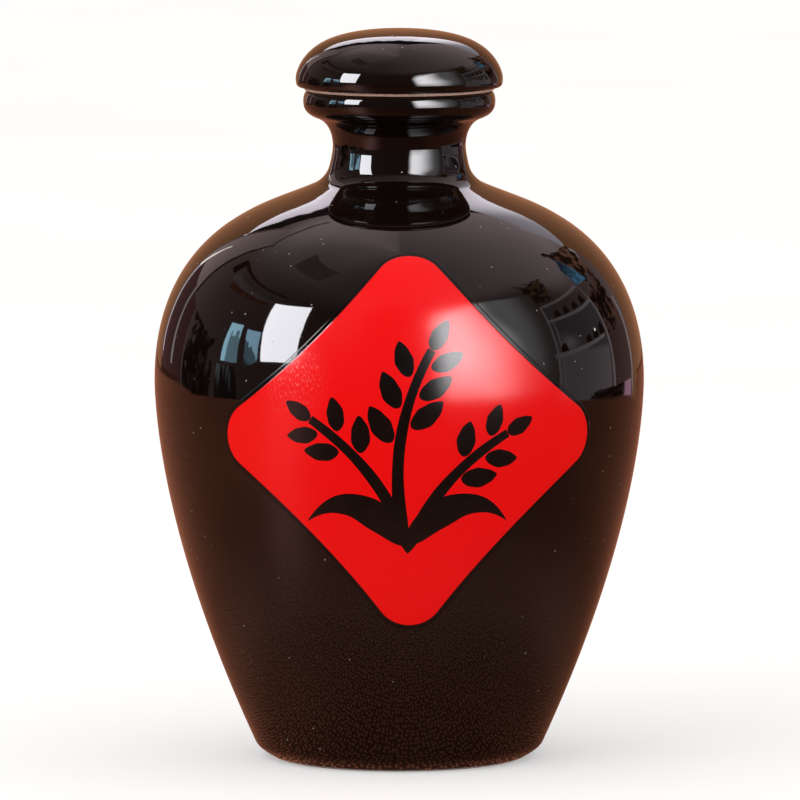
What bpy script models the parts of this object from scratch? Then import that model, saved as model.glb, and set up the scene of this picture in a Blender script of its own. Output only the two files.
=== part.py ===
"""Vinegar jar: a glazed stoneware jar, a stopper lid with two finned seal rings, and a film label.

Metres, +Z up. The origin is the middle of the foot on the table, and the label faces -Y.
Every turned piece is an outline of (radius, height) points spun round the Z axis.
"""
import math

import bmesh
import bpy
import numpy as np

MM = 0.001

# What every piece shares: the gap between pieces that touch
FIT = 0.3 * MM

# The jar's outside, from the table up
FOOT_RADIUS = 43.4 * MM
HEEL_FLARE = 6.6 * MM
HEEL_HEIGHT = 5.2 * MM
BELLY_RADIUS = 84.9 * MM
FLANK_RISE = 126.1 * MM
SHOULDER_RISE = 81.1 * MM
FLARE_RISE = 15.8 * MM
LIP_OVERHANG = 10.25 * MM
LIP_RISE = 3.5 * MM
LIP_ROUND = 1.6 * MM

# The jar's walls and hollow
WALL = 5.5 * MM
NECK_WALL = 5.05 * MM
MOUTH_RADIUS = 18.0 * MM
MOUTH_ROUND = 2.6 * MM
FLOOR = 7.0 * MM
FLOOR_ROUND = 14.0 * MM
FOOT_RING = 7.0 * MM
FOOT_RECESS = 2.0 * MM

# The lid: a cap with a bare seat ring under its edge, and a hollow stem
CAP_OVERHANG = 2.57 * MM
CAP_EDGE_RISE = 3.25 * MM
CAP_RISE = 17.0 * MM
CROWN_WALL = 8.0 * MM
SEAT_SETBACK = 0.5 * MM
SEAT_STEP = 0.9 * MM
STEM_GAP = 3.4 * MM
STEM_WALL = 5.2 * MM
STEM_SHOULDER = 3.0 * MM
STEM_TIP = 2.6 * MM
STEM_ROUND = 1.2 * MM

# The seal rings, which sit in grooves round the stem
RING_NAMES = ("seal_ring_upper", "seal_ring_lower")
RING_HEIGHT = 5.0 * MM
RING_LAND = 1.2 * MM
RING_BAND = 1.3 * MM
GROOVE_DEPTH = 0.9 * MM
FINS = 2
FIN_ROOT = 1.1 * MM
FIN_TIP = 0.5 * MM
FIN_SWEEP = 0.5 * MM

# The label's film, measured along the glaze
LABEL_HALF_WIDTH = 70.4 * MM
LABEL_HALF_HEIGHT = 68.1 * MM
LABEL_CORNER = 13.3 * MM
LABEL_SIDE_CURVE = 204.0 * MM
LABEL_HEIGHT = 118.7 * MM
LABEL_FILM = 0.3 * MM

# Places that follow from the sizes above
HEEL_RADIUS = FOOT_RADIUS + HEEL_FLARE
BELLY_HEIGHT = HEEL_HEIGHT + FLANK_RISE
NECK_HEIGHT = BELLY_HEIGHT + SHOULDER_RISE
LIP_HEIGHT = NECK_HEIGHT + FLARE_RISE
RIM_HEIGHT = LIP_HEIGHT + LIP_RISE
NECK_RADIUS = MOUTH_RADIUS + NECK_WALL
LIP_RADIUS = NECK_RADIUS + LIP_OVERHANG
SEAT_HEIGHT = RIM_HEIGHT + FIT
STEM_RADIUS = MOUTH_RADIUS - STEM_GAP
GROOVE_RADIUS = STEM_RADIUS - GROOVE_DEPTH
GROOVE_HEIGHT = RING_HEIGHT + 2 * FIT
RING_PITCH = GROOVE_HEIGHT + RING_LAND

# Shape of the outlines: stations (out, up, lean in degrees) in a box one unit wide and high
SHOULDER_STATIONS = ((1, 0, 90), (0.560, 0.683, 154), (0.110, 0.839, 162), (0, 1, 90))
FLARE_STATIONS = ((0, 0, 90), (0.511, 0.620, 14), (1, 1, 90))
CAP_STATIONS = ((1, 0, 90), (0.983, 0.161, 100), (0.648, 0.812, 142), (0, 1, 180))

# How full each bend is, as the share of its chord that its handles reach, and how it leans at its ends
SHOULDER_PULL = 0.386
FLARE_PULL = 0.402
CAP_PULL = 0.339
HEEL_LEANS, HEEL_PULL = (35, 64), 0.3
CORNER_LEANS, CORNER_PULL = (0, 70), 0.5
UNDER_LEANS, UNDER_PULL = (0, 90), 0.6
FLANK_POWER = 1.66

# Facets: round a turn, along each outline, and over the label
SEGMENTS = 56
RING_SEGMENTS = 40
HEEL_STEPS = 3
FLANK_STEPS = 8
SHOULDER_STEPS = (8, 3, 4)
FLARE_STEPS = (4, 4)
CORNER_STEPS = 4
CAP_STEPS = (2, 5, 5)
UNDER_STEPS = 4
CROWN_STEPS = 5
LIP_STEPS = 3
WALL_DETAIL, WALL_SKIP = 2, 3
LABEL_CORNER_STEPS = 3
LABEL_SIDE_STEPS = 9
LABEL_RINGS = 9
LABEL_DETAIL = 8
MERGE = 0.01 * MM
SHARP_ANGLE = math.radians(35)


def heading(lean):
    """The unit step (outwards, upwards) of a line that leans this many degrees from level."""
    return np.array([math.cos(math.radians(lean)), math.sin(math.radians(lean))])


def bend(start, end, start_lean, end_lean, pull, steps):
    """A cubic Bezier from start towards end, without its last point; pull is a share of the chord."""
    start, end = np.array(start), np.array(end)
    reach = pull * np.linalg.norm(end - start)
    first = start + reach * heading(start_lean)
    second = end - reach * heading(end_lean)
    t = np.linspace(0, 1, steps, endpoint=False)[:, None]
    return (1 - t)**3 * start + 3 * t * (1 - t)**2 * first + 3 * t**2 * (1 - t) * second + t**3 * end


def outline(stations, pull, steps, radii, heights):
    """Bends through the stations, stretched from their unit box to real radii and heights."""
    spans = []
    for here, there, count in zip(stations, stations[1:], steps):
        spans.append(bend(here[:2], there[:2], here[2], there[2], pull, count))
    out, up = np.concatenate(spans).T
    radius = radii[0] + (radii[1] - radii[0]) * out
    height = heights[0] + (heights[1] - heights[0]) * up
    return np.column_stack([radius, height])


def round_over(start, end, steps):
    """A quarter ellipse that leaves start upright and reaches end level, both ends included."""
    angle = np.linspace(0, math.pi / 2, steps + 1)
    radius = end[0] + (start[0] - end[0]) * np.cos(angle)
    height = start[1] + (end[1] - start[1]) * np.sin(angle)
    return np.column_stack([radius, height])


def jar_side(detail=1):
    """The jar's outer outline from the foot up to the neck's waist, which is its last point."""
    heel = bend((FOOT_RADIUS, 0), (HEEL_RADIUS, HEEL_HEIGHT), *HEEL_LEANS, HEEL_PULL, HEEL_STEPS * detail)
    height = np.linspace(HEEL_HEIGHT, BELLY_HEIGHT, FLANK_STEPS * detail, endpoint=False)
    left = (BELLY_HEIGHT - height) / FLANK_RISE
    flank = np.column_stack([HEEL_RADIUS + (BELLY_RADIUS - HEEL_RADIUS) * (1 - left**FLANK_POWER), height])
    steps = [count * detail for count in SHOULDER_STEPS]
    radii, heights = (NECK_RADIUS, BELLY_RADIUS), (BELLY_HEIGHT, NECK_HEIGHT)
    shoulder = outline(SHOULDER_STATIONS, SHOULDER_PULL, steps, radii, heights)
    return np.concatenate([heel, flank, shoulder, [(NECK_RADIUS, NECK_HEIGHT)]])


def inset(line, wall):
    """The line, which runs upwards, moved towards the axis by wall, square to itself."""
    along = np.gradient(line, axis=0)
    along /= np.linalg.norm(along, axis=1)[:, None]
    return line + wall * np.column_stack([-along[:, 1], along[:, 0]])


def jar_hollow():
    """The jar's inner outline, from the middle of its floor out, up the wall and up to the rim."""
    floor = FOOT_RECESS + FLOOR
    wall = inset(jar_side(WALL_DETAIL), WALL)[::WALL_SKIP]
    wall = wall[wall[:, 1] > floor + FLOOR_ROUND]
    narrow = np.flatnonzero(wall[:, 0] < MOUTH_RADIUS + FIT)
    wall = wall[:narrow[0]] if len(narrow) else wall
    corner = bend((wall[0, 0] - FLOOR_ROUND, floor), wall[0], *CORNER_LEANS, CORNER_PULL, CORNER_STEPS)
    bore_foot = (MOUTH_RADIUS, max(wall[-1, 1] + FIT, NECK_HEIGHT - MOUTH_ROUND))
    mouth_top = (MOUTH_RADIUS + MOUTH_ROUND, RIM_HEIGHT)
    mouth = round_over((MOUTH_RADIUS, RIM_HEIGHT - MOUTH_ROUND), mouth_top, LIP_STEPS)
    return np.concatenate([[(0, floor)], corner, wall, [bore_foot], mouth])


def jar_section():
    """The whole section: the hollow, the rim, the outer side downwards, and the recessed foot."""
    radii, heights = (NECK_RADIUS, LIP_RADIUS), (NECK_HEIGHT, LIP_HEIGHT)
    flare = outline(FLARE_STATIONS, FLARE_PULL, FLARE_STEPS, radii, heights)
    lip = round_over((LIP_RADIUS, LIP_HEIGHT), (LIP_RADIUS - LIP_ROUND, RIM_HEIGHT), LIP_STEPS)
    outside = np.concatenate([jar_side()[:-1], flare, lip])[::-1]
    ring_inside = FOOT_RADIUS - FOOT_RING
    foot = [(ring_inside, 0), (ring_inside - FOOT_RECESS, FOOT_RECESS), (0, FOOT_RECESS)]
    return np.concatenate([jar_hollow(), outside, foot])


def ring_bottoms():
    """The heights of the seal rings' lower faces, the upper ring first."""
    first = SEAT_HEIGHT - STEM_SHOULDER - FIT - RING_HEIGHT
    return [first - index * RING_PITCH for index in range(len(RING_NAMES))]


def lid_section():
    """The cap down its outer side, the seat, the grooved stem and its hollow, back up to the axis."""
    cap_radius = LIP_RADIUS + CAP_OVERHANG
    seat_radius = LIP_RADIUS - SEAT_SETBACK
    step = SEAT_HEIGHT + SEAT_STEP
    edge = step + CAP_EDGE_RISE
    top = edge + CAP_RISE
    under = bend((seat_radius, step), (cap_radius, edge), *UNDER_LEANS, UNDER_PULL, UNDER_STEPS)
    cap = outline(CAP_STATIONS, CAP_PULL, CAP_STEPS, (0, cap_radius), (edge, top))
    outside = np.concatenate([under, cap, [(0, top)]])[::-1]
    root = [(STEM_RADIUS + STEM_ROUND, SEAT_HEIGHT), (STEM_RADIUS, SEAT_HEIGHT - STEM_ROUND)]
    grooves = []
    for bottom in ring_bottoms():
        upper, lower = bottom + RING_HEIGHT + FIT, bottom - FIT
        grooves += [(STEM_RADIUS, upper), (GROOVE_RADIUS, upper)]
        grooves += [(GROOVE_RADIUS, lower), (STEM_RADIUS, lower)]
    tip = ring_bottoms()[-1] - FIT - STEM_TIP
    bore = GROOVE_RADIUS - STEM_WALL
    end = [(STEM_RADIUS, tip + STEM_ROUND), (STEM_RADIUS - STEM_ROUND, tip), (bore, tip)]
    crown = top - CROWN_WALL
    hollow = round_over((bore, crown - bore / 2), (0, crown), CROWN_STEPS)
    return np.concatenate([outside, [(seat_radius, SEAT_HEIGHT)], root, grooves, end, hollow])


def ring_section():
    """One seal ring from its own lower face: a band whose fins sweep up towards the jar's bore."""
    inner = GROOVE_RADIUS + FIT
    band = inner + RING_BAND
    tip = MOUTH_RADIUS - FIT
    side = []
    for index in reversed(range(FINS)):
        middle = RING_HEIGHT * (index + 0.5) / FINS - FIN_SWEEP / 2
        side += [(band, middle + FIN_ROOT / 2), (tip, middle + FIN_SWEEP + FIN_TIP / 2)]
        side += [(tip, middle + FIN_SWEEP - FIN_TIP / 2), (band, middle - FIN_ROOT / 2)]
    return np.array([(inner, RING_HEIGHT), (band, RING_HEIGHT)] + side + [(band, 0), (inner, 0)])


def label_edge():
    """The film's edge laid flat: a diamond with round corners, whose sides are arcs drawn in."""
    right = np.array([LABEL_HALF_WIDTH - LABEL_CORNER, 0])
    top = np.array([0, LABEL_HALF_HEIGHT - LABEL_CORNER])
    chord = np.linalg.norm(top - right)
    away = math.sqrt((LABEL_SIDE_CURVE + LABEL_CORNER)**2 - chord**2 / 4)
    centre = (right + top) / 2 + away * np.array([top[1], right[0]]) / chord
    right_end = math.atan2(*(centre - right)[::-1])
    top_start = math.atan2(*(centre - top)[::-1])
    side_ends = [math.atan2(*(right - centre)[::-1]), math.atan2(*(top - centre)[::-1])]
    side_turn = (side_ends[1] - side_ends[0] + math.pi) % (2 * math.pi) - math.pi
    arcs = [(right, LABEL_CORNER, 0, right_end, LABEL_CORNER_STEPS),
            (centre, LABEL_SIDE_CURVE, side_ends[0], side_ends[0] + side_turn, LABEL_SIDE_STEPS),
            (top, LABEL_CORNER, top_start, math.pi / 2, LABEL_CORNER_STEPS)]
    points = []
    for middle, radius, start, end, steps in arcs:
        angle = np.linspace(start, end, steps, endpoint=False)
        points.append(middle + radius * np.column_stack([np.cos(angle), np.sin(angle)]))
    corner = np.concatenate(points)
    mirrored = np.concatenate([[(0, LABEL_HALF_HEIGHT)], corner[:0:-1] * (-1, 1)])
    upper = np.concatenate([corner, mirrored])
    return np.concatenate([upper, -upper])


def lay_on_jar(flat, lift):
    """Flat (across, up) points laid on the glaze: up runs along the outline, across round the jar."""
    line = jar_side(LABEL_DETAIL)
    run = np.concatenate([[0], np.cumsum(np.linalg.norm(np.diff(line, axis=0), axis=1))])
    where = np.interp(LABEL_HEIGHT, line[:, 1], run) + flat[:, 1]
    raised = inset(line, -lift)
    radius, height = (np.interp(where, run, raised[:, axis]) for axis in (0, 1))
    turn = flat[:, 0] / np.interp(where, run, line[:, 0])
    return np.column_stack([radius * np.sin(turn), -radius * np.cos(turn), height])


def finish(name, mesh, material, height=0.0):
    """Shade the mesh, give it its material and put it in the scene with its origin on the axis."""
    mesh.materials.append(material)
    mesh.shade_smooth()
    mesh.set_sharp_from_angle(angle=SHARP_ANGLE)
    thing = bpy.data.objects.new(name, mesh)
    thing.location.z = height
    bpy.context.collection.objects.link(thing)
    return thing


def turn(name, section, material, height=0.0, segments=SEGMENTS, closed=False):
    """Spin a section round Z; height is where the object's origin goes on that axis."""
    shape = bmesh.new()
    points = [shape.verts.new((radius, 0, up - height)) for radius, up in section]
    pairs = list(zip(points, points[1:]))
    if closed:
        pairs.append((points[-1], points[0]))
    edges = [shape.edges.new(pair) for pair in pairs]
    axis, around = {"axis": (0, 0, 1), "cent": (0, 0, 0)}, 2 * math.pi
    bmesh.ops.spin(shape, geom=points + edges, angle=around, steps=segments, **axis)
    bmesh.ops.remove_doubles(shape, verts=shape.verts, dist=MERGE)
    bmesh.ops.recalc_face_normals(shape, faces=shape.faces)
    mesh = bpy.data.meshes.new(name)
    shape.to_mesh(mesh)
    shape.free()
    return finish(name, mesh, material, height)


def film(name, material):
    """The label: its edge repeated towards the middle, laid on the glaze and thickened outwards."""
    edge = label_edge()
    count = len(edge)
    flat = np.concatenate([[(0, 0)]] + [edge * (index + 1) / LABEL_RINGS for index in range(LABEL_RINGS)])
    faces = [(0, 1 + i, 1 + (i + 1) % count) for i in range(count)]
    for ring in range(LABEL_RINGS - 1):
        inner = 1 + ring * count
        for i in range(count):
            j = (i + 1) % count
            faces.append((inner + i, inner + count + i, inner + count + j, inner + j))
    mesh = bpy.data.meshes.new(name)
    mesh.from_pydata(lay_on_jar(flat, FIT).tolist(), [], faces)
    thing = finish(name, mesh, material)
    thickness = thing.modifiers.new("film", "SOLIDIFY")
    thickness.thickness = LABEL_FILM
    thickness.offset = 1
    return thing


def finish_of(name, colour, roughness):
    """A Principled material with a plain colour."""
    material = bpy.data.materials.new(name)
    material.use_nodes = True
    shader = material.node_tree.nodes["Principled BSDF"]
    shader.inputs["Base Color"].default_value = (*colour, 1)
    shader.inputs["Roughness"].default_value = roughness
    material.diffuse_color = (*colour, 1)
    return material


for old in list(bpy.data.objects):
    bpy.data.objects.remove(old, do_unlink=True)

jar_glaze = finish_of("jar_brown_glaze", (0.016, 0.007, 0.004), 0.08)
lid_glaze = finish_of("lid_brown_glaze", (0.020, 0.012, 0.009), 0.10)
red_film = finish_of("red_film", (0.90, 0.0, 0.003), 0.25)

jar = turn("jar_body", jar_section(), jar_glaze)
label = film("front_label", red_film)
label.parent = jar

# The seals and the lid lift out together along the axis, so one empty on the seat carries them
lift = bpy.data.objects.new("lid_lift", None)
lift.location.z = SEAT_HEIGHT
bpy.context.collection.objects.link(lift)
lid = turn("lid", lid_section(), lid_glaze, height=SEAT_HEIGHT)
lid.parent = lift
lid.location.z = 0
for ring_name, bottom in zip(RING_NAMES, ring_bottoms()):
    silicone = finish_of(ring_name + "_silicone", (0.72, 0.71, 0.66), 0.45)
    ring = turn(ring_name, ring_section(), silicone, segments=RING_SEGMENTS, closed=True)
    ring.parent = lift
    ring.location.z = bottom - SEAT_HEIGHT
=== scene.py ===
import math

import bmesh
import bpy
import numpy as np
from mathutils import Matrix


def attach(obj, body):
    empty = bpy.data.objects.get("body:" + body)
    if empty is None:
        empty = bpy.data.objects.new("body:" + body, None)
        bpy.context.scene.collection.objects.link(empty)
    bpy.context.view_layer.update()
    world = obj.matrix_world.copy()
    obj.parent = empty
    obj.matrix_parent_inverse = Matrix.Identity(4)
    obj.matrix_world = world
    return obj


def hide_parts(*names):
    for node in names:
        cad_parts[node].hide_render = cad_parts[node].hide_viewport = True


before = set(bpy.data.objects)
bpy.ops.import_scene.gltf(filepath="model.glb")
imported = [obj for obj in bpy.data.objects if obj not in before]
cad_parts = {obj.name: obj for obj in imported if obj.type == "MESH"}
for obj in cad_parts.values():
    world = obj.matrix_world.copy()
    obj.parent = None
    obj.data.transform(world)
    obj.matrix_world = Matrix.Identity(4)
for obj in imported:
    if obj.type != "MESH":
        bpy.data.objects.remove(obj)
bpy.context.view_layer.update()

# The jar: a stoneware vessel cast in one piece with its foot ring, neck and rolled lip.
# It is dipped in a dark iron glaze and fired, which leaves only the foot's underside bare.
MM = 0.001
FOOT_RADIUS, HEEL_RADIUS, HEEL_HEIGHT = 43.4 * MM, 50.0 * MM, 5.2 * MM
BELLY_RADIUS, BELLY_HEIGHT = 84.9 * MM, 131.3 * MM
NECK_RADIUS, NECK_HEIGHT = 23.05 * MM, 212.4 * MM
LIP_RADIUS, LIP_HEIGHT, LIP_ROUND = 33.3 * MM, 228.2 * MM, 1.6 * MM
RIM_HEIGHT = 231.7 * MM
WALL, FLOOR_HEIGHT, FLOOR_ROUND = 5.5 * MM, 9.0 * MM, 14.0 * MM
MOUTH_RADIUS, MOUTH_ROUND = 18.0 * MM, 2.6 * MM
FOOT_RING, FOOT_RECESS = 7.0 * MM, 2.0 * MM
FLANK_POWER, HEEL_LEANS, HEEL_PULL = 1.66, (35, 64), 0.3
SHOULDER_STATIONS = ((1, 0, 90), (0.560, 0.683, 154), (0.110, 0.839, 162), (0, 1, 90))
FLARE_STATIONS = ((0, 0, 90), (0.511, 0.620, 14), (1, 1, 90))
SHOULDER_PULL, FLARE_PULL, CORNER_PULL, CORNER_LEAN = 0.386, 0.402, 0.5, 70
NECK_RIDGES, RIDGE_REACH = ((0.20 * MM, 208.0 * MM), (-0.13 * MM, 203.6 * MM)), 3 * MM
WAVES, WAVE_DEPTH = ((3, 21, 0.0, 1.0), (5, -47, 1.3, 0.7), (2, 83, 0.4, 0.5)), 0.030 * MM
OUTER_STEPS, INNER_STEPS, ROUND_TURN = 34, 14, 288
MERGE_DISTANCE = 0.001 * MM


def heading(lean):
    """The unit step (outwards, upwards) of a line that leans this many degrees from level."""
    return np.array([math.cos(math.radians(lean)), math.sin(math.radians(lean))])


def bezier(first, second, third, fourth, share):
    """Points of a cubic Bezier at shares of its course."""
    share = share[:, None]
    rest = 1 - share
    return rest**3 * first + 3 * share * rest**2 * second + 3 * share**2 * rest * third + share**3 * fourth


def bend(start, end, start_lean, end_lean, pull, steps):
    """A cubic Bezier from start towards end, without its last point; pull is a share of the chord."""
    start, end = np.array(start), np.array(end)
    reach = pull * np.linalg.norm(end - start)
    leave, arrive = start + reach * heading(start_lean), end - reach * heading(end_lean)
    return bezier(start, leave, arrive, end, np.linspace(0, 1, steps, endpoint=False))


def outline(stations, pull, steps, radii, heights):
    """Bends through stations (out, up, lean), stretched from a unit box to real radii and heights."""
    spans = [bend(a[:2], b[:2], a[2], b[2], pull, steps) for a, b in zip(stations, stations[1:])]
    out, up = np.concatenate(spans).T
    radius = radii[0] + (radii[1] - radii[0]) * out
    return np.column_stack([radius, heights[0] + (heights[1] - heights[0]) * up])


def round_over(start, end, steps):
    """A quarter ellipse that leaves start upright and reaches end level, both ends included."""
    angle = np.linspace(0, math.pi / 2, steps + 1)
    radius = end[0] + (start[0] - end[0]) * np.cos(angle)
    return np.column_stack([radius, start[1] + (end[1] - start[1]) * np.sin(angle)])


def jar_side(steps):
    """The outer outline from foot to neck: a bent heel, a power curve, bends for the shoulder, and a
    low ridge over a low hollow at the neck's foot, each a bell curve."""
    heel = bend((FOOT_RADIUS, 0), (HEEL_RADIUS, HEEL_HEIGHT), *HEEL_LEANS, HEEL_PULL, steps // 3)
    height = np.linspace(HEEL_HEIGHT, BELLY_HEIGHT, 2 * steps, endpoint=False)
    left = (BELLY_HEIGHT - height) / (BELLY_HEIGHT - HEEL_HEIGHT)
    flank = np.column_stack([HEEL_RADIUS + (BELLY_RADIUS - HEEL_RADIUS) * (1 - left**FLANK_POWER), height])
    radii, heights = (NECK_RADIUS, BELLY_RADIUS), (BELLY_HEIGHT, NECK_HEIGHT)
    shoulder = outline(SHOULDER_STATIONS, SHOULDER_PULL, steps, radii, heights)
    line = np.concatenate([heel, flank, shoulder, [(NECK_RADIUS, NECK_HEIGHT)]])
    for depth, middle in NECK_RIDGES:
        bell = np.exp(-((line[:, 1] - middle) / RIDGE_REACH)**2)
        line[:, 0] += depth * bell * (line[:, 1] < NECK_HEIGHT)
    return line


def unit_steps(line):
    """The unit step along a line at each of its points."""
    along = np.gradient(line, axis=0)
    return along / np.linalg.norm(along, axis=1)[:, None]


def inset(line, wall):
    """The line, which runs upwards, moved towards the axis by wall, square to itself."""
    along = unit_steps(line)
    return line + wall * np.column_stack([-along[:, 1], along[:, 0]])


def wave(turn, height):
    """How far the fired wall falls short of a true circle: sines round it and up it, each with its
    lobes, its rate up the wall, its start and its share."""
    ripple = sum(share * np.sin(lobes * turn + rate * height + start) for lobes, rate, start, share in WAVES)
    return WAVE_DEPTH * (1 + ripple / sum(share for *_, share in WAVES))


def piece_from_grid(name, points, finish, across_closed=True, along_closed=False, light=None):
    """A mesh of quads over rows of points, with doubled points at seams and poles merged. light is
    stored as a colour for each point."""
    rows, columns = points.shape[:2]
    row = np.arange(rows if along_closed else rows - 1)[:, None]
    column = np.arange(columns if across_closed else columns - 1)[None, :]
    next_row, next_column = (row + 1) % rows, (column + 1) % columns
    corners = [row * columns + column, row * columns + next_column]
    corners += [next_row * columns + next_column, next_row * columns + column]
    quads = np.stack(corners, axis=-1).reshape(-1, 4)
    mesh = bpy.data.meshes.new(name)
    mesh.from_pydata(points.reshape(-1, 3), [], quads)
    if light is not None:
        spots = mesh.attributes.new("light", "FLOAT_COLOR", "POINT")
        spots.data.foreach_set("color", light.astype(np.float32).ravel())
    shape = bmesh.new()
    shape.from_mesh(mesh)
    bmesh.ops.remove_doubles(shape, verts=shape.verts, dist=MERGE_DISTANCE)
    bmesh.ops.recalc_face_normals(shape, faces=shape.faces)
    shape.to_mesh(mesh)
    shape.free()
    mesh.shade_smooth()
    mesh.materials.append(finish)
    thing = bpy.data.objects.new(name, mesh)
    bpy.context.collection.objects.link(thing)
    return thing


def turned(section, steps=ROUND_TURN, waved=0.0):
    """Rows of points from spinning a (radius, height) section round Z, less a share of the wave."""
    turn = np.linspace(0, 2 * math.pi, steps, endpoint=False)
    radius, height = section[:, :1], np.repeat(section[:, 1:], steps, axis=1)
    radius = np.maximum(radius - waved * wave(turn, height) * (radius > 0), 0)
    return np.stack([radius * np.sin(turn), -radius * np.cos(turn), height], axis=-1)


def jar_section():
    """The closed section: up the hollow, over the rim, down the outside and under the foot."""
    wall = inset(jar_side(INNER_STEPS), WALL)
    wall = wall[(wall[:, 1] > FLOOR_HEIGHT + FLOOR_ROUND) & (wall[:, 0] > MOUTH_RADIUS + 0.3 * MM)]
    floor_end = (wall[0, 0] - FLOOR_ROUND, FLOOR_HEIGHT)
    corner = bend(floor_end, wall[0], 0, CORNER_LEAN, CORNER_PULL, 8)
    bore = [(MOUTH_RADIUS, NECK_HEIGHT - MOUTH_ROUND)]
    rim = (MOUTH_RADIUS + MOUTH_ROUND, RIM_HEIGHT)
    mouth = round_over((MOUTH_RADIUS, RIM_HEIGHT - MOUTH_ROUND), rim, 8)
    radii, heights = (NECK_RADIUS, LIP_RADIUS), (NECK_HEIGHT, LIP_HEIGHT)
    flare = outline(FLARE_STATIONS, FLARE_PULL, 22, radii, heights)
    lip = round_over((LIP_RADIUS, LIP_HEIGHT), (LIP_RADIUS - LIP_ROUND, RIM_HEIGHT), 10)
    outside = np.concatenate([jar_side(OUTER_STEPS)[:-1], flare, lip])[::-1]
    ring = FOOT_RADIUS - FOOT_RING
    foot = [(ring, 0), (ring - FOOT_RECESS, FOOT_RECESS), (0, FOOT_RECESS)]
    return np.concatenate([[(0, FLOOR_HEIGHT)], corner, wall, bore, mouth, outside, foot])


def linear(code):
    """An sRGB hex colour as linear red, green, blue and alpha."""
    shares = [int(code[start:start + 2], 16) / 255 for start in (1, 3, 5)]
    return (*[c / 12.92 if c <= 0.04045 else ((c + 0.055) / 1.055)**2.4 for c in shares], 1.0)


def node(tree, kind, inputs=None, output=0, stops=(), **settings):
    """Add one node and give back one of its outputs. inputs takes another node's output, a hex
    colour or a number for each socket; stops are a ramp's, and settings the node's own."""
    made = tree.nodes.new("ShaderNode" + kind)
    for name, value in settings.items():
        setattr(made, name, value)
    for socket, value in (inputs or {}).items():
        if isinstance(value, bpy.types.NodeSocket):
            tree.links.new(value, made.inputs[socket])
        else:
            made.inputs[socket].default_value = linear(value) if isinstance(value, str) else value
    for index, (place, code) in enumerate(stops):
        elements = made.color_ramp.elements
        element = elements[index] if index < len(elements) else elements.new(place)
        element.position, element.color = place, linear(code)
    return made.outputs[output] if made.outputs else None


def finish_called(name, kind=bpy.data.materials):
    """A new material, or world, and its empty node tree."""
    made = kind.new(name)
    made.use_nodes = True
    made.node_tree.nodes.clear()
    return made, made.node_tree


# Iron glaze over stoneware, melted to a glass: nearly black with a red-brown cast, mirror-like, with
# slow swells, pinholes and a few dust grains burnt in. Bare clay shows where the ware stood in the
# kiln. _MM says how wide a feature is, and _UP how high it stands, in mm.
GLAZE, GLAZE_WARM, GLAZE_THIN, DUST = "#0b0504", "#130a07", "#2b1710", "#a2988f"
CLAY, CLAY_DARK, CLAY_SPOT = "#dbb29f", "#bd917c", "#7a5240"
CLOUD_MM, SWELL_MM, RIPPLE_MM, PEEL_MM, GRAIN_MM = 30.0, 13.0, 5.0, 1.8, 0.35
SWELL_UP, RIPPLE_UP, PEEL_UP, GRAIN_UP = 0.030, 0.009, 0.0012, 0.06
PINHOLE_MM, PINHOLE_UP, DUST_MM, DUST_UP = 2.6, -0.035, 2.2, 0.03
# the share of their cells that stay empty, with a soft end
NO_PINHOLE, NO_DUST = (0.905, 0.915), (0.845, 0.855)
CLAY_WANDER, CLAY_EDGE, RECESS_TOP = 0.25 * MM, (0.06 * MM, 0.16 * MM), 4.0 * MM
GLAZE_IOR, GLAZE_GLOSS, CLAY_ROUGH = 1.41, (0.020, 0.045), 0.85


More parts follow.
